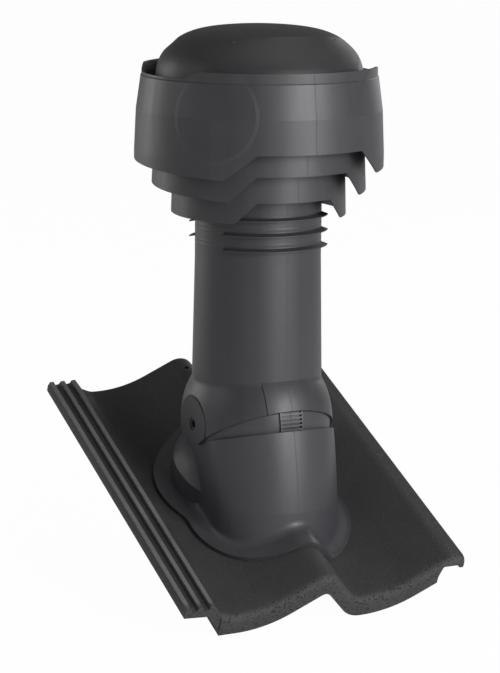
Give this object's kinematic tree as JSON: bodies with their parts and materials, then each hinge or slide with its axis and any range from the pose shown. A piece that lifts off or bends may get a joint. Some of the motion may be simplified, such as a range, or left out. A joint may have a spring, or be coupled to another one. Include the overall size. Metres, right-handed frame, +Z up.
{
  "type": "roof tile vent",
  "caption": "Wavy roof tile with a moulded base, a duct pipe that tilts to suit the roof's pitch, and a ringed exhaust hood under a round cap.",
  "frame": {"origin": "middle of the fixing hole through the tile's crest, near the tile's head", "axes": "+Z up along the upright pipe, -Y down the slope of the roof, +X along the row of tiles towards the cover lap"},
  "size_m": [0.33, 0.4047, 0.6251],
  "materials": {
    "concrete": "matte",
    "anthracite_plastic": "satin",
    "grey_plastic": "satin",
    "seal_rubber": "matte",
    "foam": "matte",
    "steel": "satin"
  },
  "bodies": {
    "tile_base": {"roof_tile": "concrete", "base_cone": "anthracite_plastic", "flange_seal": "seal_rubber", "pivot_bush_left": "anthracite_plastic", "pivot_bush_right": "anthracite_plastic"},
    "head": {"outer_pipe": "anthracite_plastic", "inner_duct": "grey_plastic", "lower_ring": "grey_plastic", "upper_ring": "grey_plastic", "insulation": "foam", "hood_inner_ring": "anthracite_plastic", "hood_middle_ring": "anthracite_plastic", "hood_outer_ring": "anthracite_plastic", "hood_carrier": "anthracite_plastic", "dome_cap": "anthracite_plastic", "dome_screw_front_right": "steel", "dome_screw_back_right": "steel", "dome_screw_back_left": "steel", "dome_screw_front_left": "steel"}
  },
  "joints": [
    {"name": "head_tilt", "type": "hinge", "parent": "tile_base", "child": "head", "pos_m": [0, -0.18859, -0.01462], "axis": [1, 0, 0], "range_deg": [-9, 8]}
  ]
}
